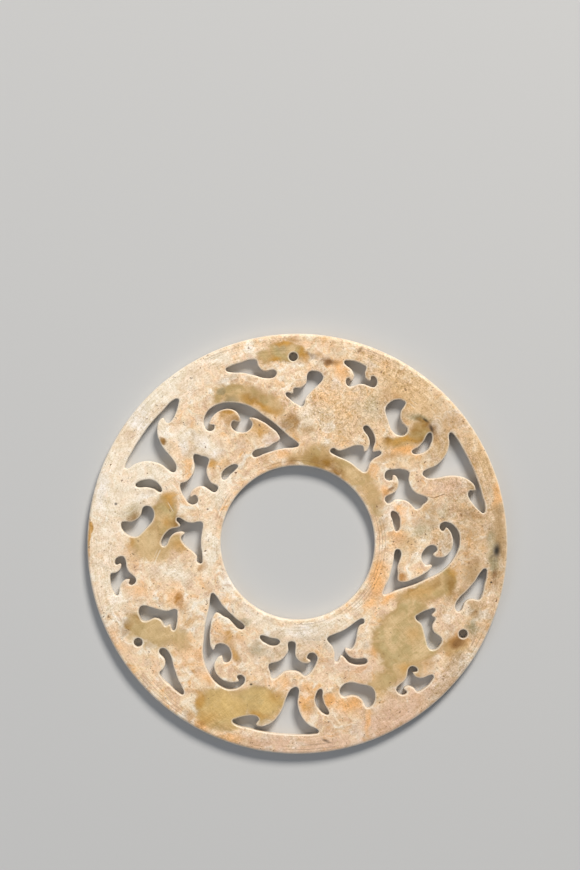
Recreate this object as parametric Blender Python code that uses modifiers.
# Openwork jade bi disc, lying flat on its back: metres, +Z up, +Y towards the cord hole at the top.
# The origin is the centre of the underside. The disc is one piece, cut from one plate:
# a turned blank, a turned cutter for the bore, a drill for each cord hole,
# and ten drawn openings that repeat round the disc.

import math

import bmesh
import bpy

MM = 0.001

# Driving dimensions
DISC_DIAMETER = 160 * MM
DISC_THICKNESS = 5 * MM
RIM_ROUND = 1.2 * MM            # radius of the rounded edges at the rim
BORE_DIAMETER = 58.5 * MM
BORE_ROUND = 0.9 * MM           # radius of the rounded edges at the bore
BORE_BORDER = 7.6 * MM          # plain ring between the bore and the openwork
RIM_BORDER = 7.4 * MM           # plain ring between the openwork and the rim
CORD_HOLE_DIAMETER = 3.3 * MM
CORD_HOLE_INSET = 8.6 * MM      # from the rim to the middle of a cord hole
CORD_HOLE_TURN = 91.5           # degrees, anticlockwise from +X, of the top cord hole
ORNAMENT_REPEATS = 3

# The carver laid out the bore and the ornament by hand, each a little off the middle of the disc.
BORE_CENTRE = (0.1 * MM, 0.4 * MM)
ORNAMENT_CENTRE = (0.3 * MM, -0.2 * MM)

# Fineness of the faceted solid
RIM_STEPS = 96
BORE_STEPS = 72
DRILL_SIDES = 20
ROUND_STEPS = 2                 # facets across a rounded edge
CURVE_STEPS = 2                 # facets between two points of a drawn opening
SMOOTH_ANGLE = 35               # degrees; a sharper fold is shaded as an edge
FLAT_ANGLE = 0.5                # degrees; a smaller fold is flat, and its facets are joined
CUT_OVERRUN = 1 * MM            # how far a cutter stands out of each face

JADE_COLOUR = (0.66, 0.50, 0.36, 1.0)
JADE_ROUGHNESS = 0.42

# One third of the openwork, in millimetres on a disc of full size, as (x, y) round each opening.
# A smooth curve runs through the points; two close points make a tight corner.
OPENINGS = {
    "rim_spur": [
        (-27.6, 66.5), (-26.6, 67.5), (-21.9, 69.1), (-16.9, 70.4), (-15.9, 70.0), (-15.4, 68.2),
        (-13.9, 66.4), (-11.9, 65.9), (-9.4, 66.4), (-8.2, 65.2), (-10.2, 63.3), (-16.3, 64.3),
        (-21.8, 65.4), (-26.2, 65.6),
    ],
    "boot": [
        (-4.7, 57.3), (-3.9, 57.8), (-2.4, 57.4), (-1.8, 57.8), (-1.8, 59.1), (-1.0, 59.5),
        (0.7, 59.5), (2.4, 60.4), (3.2, 61.6), (3.5, 64.4), (4.4, 65.7), (6.0, 65.9), (8.6, 65.1),
        (9.4, 63.3), (7.9, 61.1), (3.4, 56.7), (2.6, 55.3), (2.3, 53.4), (1.4, 52.5), (0.6, 52.8),
        (-3.9, 56.0),
    ],
    "anvil": [
        (17.6, 69.5), (18.5, 70.0), (25.0, 68.2), (25.9, 67.3), (25.4, 65.7), (25.4, 63.9),
        (26.1, 62.8), (27.3, 62.2), (27.7, 62.7), (27.8, 63.7), (28.5, 64.0), (29.5, 63.4),
        (30.0, 61.9), (29.4, 60.2), (28.4, 59.8), (25.1, 61.0), (22.8, 61.0), (20.1, 60.1),
        (18.8, 60.5), (18.2, 61.9), (18.7, 63.2), (19.5, 63.2), (20.3, 62.2), (21.1, 63.0),
        (21.3, 64.5), (20.0, 66.9), (17.9, 68.5),
    ],
    "bird": [
        (12.2, 35.4), (12.7, 36.3), (13.7, 36.5), (14.9, 35.7), (16.2, 35.6), (19.9, 36.9),
        (23.3, 37.6), (24.7, 37.0), (25.0, 35.6), (25.4, 35.2), (26.9, 37.1), (27.3, 38.9),
        (26.5, 41.4), (25.0, 43.4), (24.9, 44.6), (26.1, 45.1), (27.2, 44.3), (28.9, 41.2),
        (29.2, 38.8), (28.3, 35.7), (28.8, 35.1), (30.8, 35.5), (31.6, 34.8), (31.0, 33.9),
        (28.7, 32.6), (27.0, 30.5), (26.1, 28.0), (25.3, 27.5), (24.2, 27.9), (20.7, 30.7),
        (17.8, 32.4), (12.9, 34.6),
    ],
    "kidney": [
        (40.8, 53.8), (39.8, 54.8), (38.1, 55.1), (35.2, 54.1), (33.3, 51.7), (33.4, 50.1),
        (34.4, 46.8), (35.9, 43.1), (39.0, 41.4), (41.2, 42.3), (41.5, 44.2), (39.6, 46.2),
        (38.8, 48.8), (39.3, 51.2),
    ],
    "crescent": [
        (50.9, 41.5), (50.3, 42.4), (49.2, 41.8), (48.0, 39.5), (45.5, 36.8), (43.4, 35.5),
        (43.8, 34.6), (45.4, 34.4), (48.9, 35.8), (50.3, 38.1),
    ],
    "sail": [
        (57.5, 42.0), (58.3, 42.5), (59.1, 41.9), (62.0, 37.5), (65.4, 31.1), (68.2, 24.6),
        (70.1, 18.3), (71.3, 13.2), (70.6, 11.9), (69.6, 12.4), (66.0, 16.4), (64.7, 18.9),
        (65.4, 20.4), (67.2, 20.3), (67.6, 20.9), (65.6, 24.1), (60.6, 26.1), (56.2, 26.0),
        (50.3, 25.1), (48.0, 25.9), (47.4, 27.1), (48.4, 28.2), (51.9, 29.6), (55.0, 32.2),
        (57.1, 35.9), (57.6, 39.1),
    ],
    "forked_bar": [
        (32.9, 26.1), (33.8, 27.9), (36.0, 28.4), (41.5, 27.9), (42.3, 27.1), (41.9, 25.2),
        (42.8, 21.8), (45.1, 19.3), (48.4, 18.1), (49.3, 17.1), (47.4, 15.1), (46.4, 13.9),
        (45.1, 13.3), (44.3, 13.8), (42.0, 16.1), (38.6, 17.1), (36.6, 16.9), (34.4, 15.5),
        (33.5, 16.0), (33.0, 17.4), (33.7, 18.3), (37.0, 20.0), (38.2, 22.6), (37.7, 25.3),
        (36.4, 26.4), (35.9, 26.1), (35.8, 24.7), (34.9, 24.3), (33.5, 24.7),
    ],
    "sliver": [
        (35.2, 11.8), (36.0, 12.6), (38.3, 10.8), (38.7, 8.2), (38.4, 5.8), (37.3, 5.0),
        (36.6, 6.2), (35.9, 9.3),
    ],
    "curl": [
        (32.3, -18.4), (34.4, -13.6), (36.4, -5.5), (36.9, -2.5), (37.8, -1.9), (38.9, -2.6),
        (39.0, -4.6), (37.7, -8.6), (37.9, -11.1), (37.8, -13.5), (38.5, -14.3), (44.0, -13.2),
        (47.8, -11.3), (51.0, -8.2), (50.6, -7.7), (48.8, -7.9), (47.0, -5.2), (47.9, -2.3),
        (50.9, -0.4), (52.6, -1.1), (52.8, -2.4), (51.3, -3.9), (53.6, -5.1), (56.6, -4.3),
        (58.8, -0.8), (58.7, 3.1), (57.4, 5.6), (56.3, 6.4), (55.3, 5.1), (54.4, 5.4),
        (53.9, 6.9), (54.7, 8.1), (56.5, 8.4), (60.0, 6.3), (61.5, 1.9), (59.6, -4.6),
        (54.2, -10.5), (49.6, -12.8), (43.8, -15.4), (37.2, -17.5), (33.7, -19.0), (32.7, -19.1),
    ],
}


def clear_scene():
    for thing in list(bpy.data.objects):
        bpy.data.objects.remove(thing, do_unlink=True)


def new_collection(name):
    collection = bpy.data.collections.new(name)
    bpy.context.scene.collection.children.link(collection)
    return collection


def jade_material():
    material = bpy.data.materials.new("calcified_jade")
    material.use_nodes = True
    shader = material.node_tree.nodes["Principled BSDF"]
    shader.inputs["Base Color"].default_value = JADE_COLOUR
    shader.inputs["Roughness"].default_value = JADE_ROUGHNESS
    shader.inputs["Metallic"].default_value = 0.0
    return material


def quarter_arc(centre, radius, start_degrees, turn_degrees):
    """Points on a quarter round, both ends included."""
    angles = [
        math.radians(start_degrees + turn_degrees * step / ROUND_STEPS)
        for step in range(ROUND_STEPS + 1)
    ]
    return [
        (centre[0] + radius * math.cos(angle), centre[1] + radius * math.sin(angle))
        for angle in angles
    ]


def turned_solid(name, profile, steps, collection):
    """A profile of (radius, height) points, top to bottom, turned about the Z axis."""
    mesh = bpy.data.meshes.new(name)
    points = [(radius, 0.0, height) for radius, height in profile]
    edges = [(index, index + 1) for index in range(len(points) - 1)]
    mesh.from_pydata(points, edges, [])
    solid = bpy.data.objects.new(name, mesh)
    collection.objects.link(solid)
    screw = solid.modifiers.new("turn", "SCREW")
    screw.steps = steps
    screw.render_steps = steps
    screw.use_merge_vertices = True
    screw.merge_threshold = 0.00001
    screw.use_smooth_shade = True
    return solid


def disc_blank(collection):
    radius = DISC_DIAMETER / 2
    shoulder = radius - RIM_ROUND
    upper = quarter_arc((shoulder, DISC_THICKNESS - RIM_ROUND), RIM_ROUND, 90, -90)
    lower = quarter_arc((shoulder, RIM_ROUND), RIM_ROUND, 0, -90)
    profile = [(0.0, DISC_THICKNESS)] + upper + lower + [(0.0, 0.0)]
    blank = turned_solid("jade_bi_disc", profile, RIM_STEPS, collection)
    whole_faces = blank.modifiers.new("whole_faces", "DECIMATE")
    whole_faces.decimate_type = "DISSOLVE"
    whole_faces.angle_limit = math.radians(FLAT_ANGLE)
    return blank


def bore_cutter(collection):
    """A spool whose waist is the bore and whose flared ends round the bore's edges."""
    radius = BORE_DIAMETER / 2
    flare = radius + BORE_ROUND
    upper = quarter_arc((flare, DISC_THICKNESS - BORE_ROUND), BORE_ROUND, 90, 90)
    lower = quarter_arc((flare, BORE_ROUND), BORE_ROUND, 180, 90)
    top = DISC_THICKNESS + CUT_OVERRUN
    profile = [(0.0, top), (flare, top)] + upper + lower + [(flare, -CUT_OVERRUN), (0.0, -CUT_OVERRUN)]
    cutter = turned_solid("bore_cutter", profile, BORE_STEPS, collection)
    cutter.location = (BORE_CENTRE[0], BORE_CENTRE[1], 0.0)


def cord_drills(collection):
    """Straight drills through the plate, one at each repeat of the ornament."""
    reach = DISC_DIAMETER / 2 - CORD_HOLE_INSET
    for repeat in range(ORNAMENT_REPEATS):
        angle = math.radians(CORD_HOLE_TURN + repeat * 360 / ORNAMENT_REPEATS)
        mesh = bpy.data.meshes.new(f"cord_drill_{repeat + 1}")
        shape = bmesh.new()
        bmesh.ops.create_cone(
            shape,
            cap_ends=True,
            segments=DRILL_SIDES,
            radius1=CORD_HOLE_DIAMETER / 2,
            radius2=CORD_HOLE_DIAMETER / 2,
            depth=DISC_THICKNESS + 2 * CUT_OVERRUN,
        )
        shape.to_mesh(mesh)
        shape.free()
        mesh.shade_smooth()
        drill = bpy.data.objects.new(mesh.name, mesh)
        drill.location = (
            ORNAMENT_CENTRE[0] + reach * math.cos(angle),
            ORNAMENT_CENTRE[1] + reach * math.sin(angle),
            DISC_THICKNESS / 2,
        )
        collection.objects.link(drill)


def place_in_band(point, drawn_inner, drawn_outer):
    """Moves a drawn point along its radius, so that the drawing fills the band between the borders."""
    inner = BORE_DIAMETER / 2 + BORE_BORDER
    outer = DISC_DIAMETER / 2 - RIM_BORDER
    angle = math.atan2(point[1], point[0])
    share = (math.hypot(*point) - drawn_inner) / (drawn_outer - drawn_inner)
    radius = inner + share * (outer - inner)
    return radius, angle


def openwork_cutter(collection):
    """Every drawn opening, repeated round the disc, as one flat curve with thickness."""
    reaches = [math.hypot(*point) for outline in OPENINGS.values() for point in outline]
    curve = bpy.data.curves.new("openwork_outline", "CURVE")
    curve.dimensions = "2D"
    curve.fill_mode = "BOTH"
    curve.extrude = DISC_THICKNESS / 2 + CUT_OVERRUN
    curve.resolution_u = CURVE_STEPS
    for repeat in range(ORNAMENT_REPEATS):
        turn = repeat * 2 * math.pi / ORNAMENT_REPEATS
        for outline in OPENINGS.values():
            spline = curve.splines.new("BEZIER")
            spline.bezier_points.add(len(outline) - 1)
            spline.use_cyclic_u = True
            for bezier, point in zip(spline.bezier_points, outline):
                radius, angle = place_in_band(point, min(reaches), max(reaches))
                bezier.co = (radius * math.cos(angle + turn), radius * math.sin(angle + turn), 0.0)
                bezier.handle_left_type = "AUTO"
                bezier.handle_right_type = "AUTO"
    outline_object = bpy.data.objects.new("openwork_outline", curve)
    outline_object.location = (ORNAMENT_CENTRE[0], ORNAMENT_CENTRE[1], DISC_THICKNESS / 2)
    collection.objects.link(outline_object)
    mesh_from_curve(outline_object, "openwork_cutter", collection)


def mesh_from_curve(curve_object, name, collection):
    """The evaluated curve as a closed mesh object in the curve's place; the curve is removed."""
    graph = bpy.context.evaluated_depsgraph_get()
    mesh = bpy.data.meshes.new_from_object(curve_object.evaluated_get(graph))
    mesh.name = name
    shape = bmesh.new()
    shape.from_mesh(mesh)
    bmesh.ops.remove_doubles(shape, verts=shape.verts, dist=0.000001)
    bmesh.ops.recalc_face_normals(shape, faces=shape.faces)
    shape.to_mesh(mesh)
    shape.free()
    solid = bpy.data.objects.new(name, mesh)
    solid.matrix_world = curve_object.matrix_world
    collection.objects.link(solid)
    bpy.data.objects.remove(curve_object, do_unlink=True)


def cut_away(solid, cutters):
    """One cut by the whole collection, so that no cut crosses the seams that another one left."""
    for cutter in cutters.objects:
        cutter.hide_render = True
        cutter.display_type = "WIRE"
    cut = solid.modifiers.new("openings", "BOOLEAN")
    cut.operation = "DIFFERENCE"
    cut.operand_type = "COLLECTION"
    cut.solver = "EXACT"
    cut.collection = cutters


def smooth_by_angle(solid):
    """A node modifier that shades faces smooth and keeps folds above the angle as edges."""
    tree = bpy.data.node_groups.new("smooth_by_angle", "GeometryNodeTree")
    tree.interface.new_socket("Geometry", in_out="INPUT", socket_type="NodeSocketGeometry")
    tree.interface.new_socket("Geometry", in_out="OUTPUT", socket_type="NodeSocketGeometry")
    group_in = tree.nodes.new("NodeGroupInput")
    group_out = tree.nodes.new("NodeGroupOutput")
    smooth_faces = tree.nodes.new("GeometryNodeSetShadeSmooth")
    smooth_faces.domain = "FACE"
    fold = tree.nodes.new("GeometryNodeInputMeshEdgeAngle")
    is_sharp = tree.nodes.new("FunctionNodeCompare")
    is_sharp.operation = "GREATER_THAN"
    is_sharp.inputs["B"].default_value = math.radians(SMOOTH_ANGLE)
    sharp_edges = tree.nodes.new("GeometryNodeSetShadeSmooth")
    sharp_edges.domain = "EDGE"
    sharp_edges.inputs["Shade Smooth"].default_value = False
    link = tree.links.new
    link(group_in.outputs["Geometry"], smooth_faces.inputs["Geometry"])
    link(smooth_faces.outputs["Geometry"], sharp_edges.inputs["Geometry"])
    link(fold.outputs["Unsigned Angle"], is_sharp.inputs["A"])
    link(is_sharp.outputs["Result"], sharp_edges.inputs["Selection"])
    link(sharp_edges.outputs["Geometry"], group_out.inputs["Geometry"])
    solid.modifiers.new("smooth_by_angle", "NODES").node_group = tree


def main():
    clear_scene()
    parts = new_collection("jade_bi_disc")
    cutters = new_collection("cutters")
    disc = disc_blank(parts)
    disc.data.materials.append(jade_material())
    bore_cutter(cutters)
    openwork_cutter(cutters)
    cord_drills(cutters)
    cut_away(disc, cutters)
    smooth_by_angle(disc)


main()
